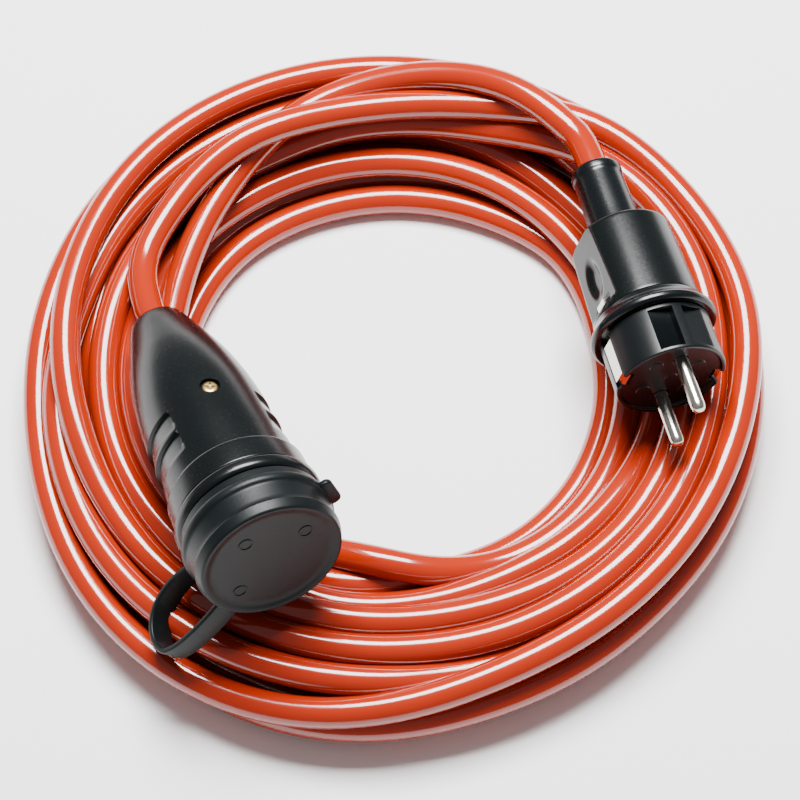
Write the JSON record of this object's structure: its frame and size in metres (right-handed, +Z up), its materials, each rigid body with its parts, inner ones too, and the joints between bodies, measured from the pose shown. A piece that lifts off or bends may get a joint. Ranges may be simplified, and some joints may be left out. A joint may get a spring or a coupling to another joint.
{
  "type": "extension cord",
  "caption": "Coiled outdoor extension cord with an earthed two-pin plug at one end and a rubber coupler with a tethered hinged cap at the other.",
  "frame": {"origin": "on the floor plane under the middle of the coil", "axes": "+Z up; the plug lies on the +X side of the coil and the coupler on the -X side, both with their noses towards -Y"},
  "size_m": [0.254, 0.254, 0.0845],
  "materials": {
    "cord_sheath": "glossy orange-red polyurethane sheath",
    "black_rubber": "satin moulded rubber",
    "sleeve_rubber": "smooth moulded rubber",
    "black_plastic": "semi-gloss moulded polyamide",
    "grey_plastic": "plain moulded carrier",
    "nickel_plate": "bright nickel plate",
    "contact_brass": "plain brass",
    "housing_screw": "yellow-passivated screw",
    "zinc_steel": "zinc-plated steel",
    "core_brown": "insulated core",
    "core_blue": "insulated core",
    "core_green": "insulated core, green and yellow"
  },
  "bodies": {
    "root": {"cord_coil": "cord_sheath", "cord_plug_lead": "cord_sheath", "cord_coupler_lead": "cord_sheath", "coupler_clamp_screw_left": "zinc_steel", "coupler_clamp_screw_right": "zinc_steel", "coupler_contact_line": "contact_brass", "coupler_contact_neutral": "contact_brass", "coupler_cord_clamp": "grey_plastic", "coupler_core_blue": "core_blue", "coupler_core_brown": "core_brown", "coupler_core_green": "core_green", "coupler_earth_bracket": "nickel_plate", "coupler_gland_seal": "black_rubber", "coupler_housing": "black_rubber", "coupler_housing_screw": "housing_screw", "coupler_socket_insert": "black_plastic", "coupler_terminal_carrier": "grey_plastic", "coupler_terminal_screw_line": "zinc_steel", "coupler_terminal_screw_neutral": "zinc_steel", "plug_bend_sleeve": "sleeve_rubber", "plug_body": "black_plastic", "plug_clamp_screw_left": "zinc_steel", "plug_clamp_screw_right": "zinc_steel", "plug_contact_insert": "black_plastic", "plug_cord_clamp": "grey_plastic", "plug_core_blue": "core_blue", "plug_core_brown": "core_brown", "plug_core_green": "core_green", "plug_earth_bracket": "nickel_plate", "plug_pin_line": "nickel_plate", "plug_pin_neutral": "nickel_plate", "plug_sealing_collar": "sleeve_rubber", "plug_terminal_screw_line": "zinc_steel", "plug_terminal_screw_neutral": "zinc_steel", "tether_ring": "black_rubber"},
    "cap": {"cap_cover": "black_rubber", "cap_seal": "black_rubber"}
  },
  "joints": [
    {"name": "cap_hinge", "type": "hinge", "parent": "root", "child": "cap", "pos_m": [-0.07306, -0.10099, 0.02708], "axis": [0.6866, 0.093, -0.7211], "range_deg": [0, 100]}
  ]
}
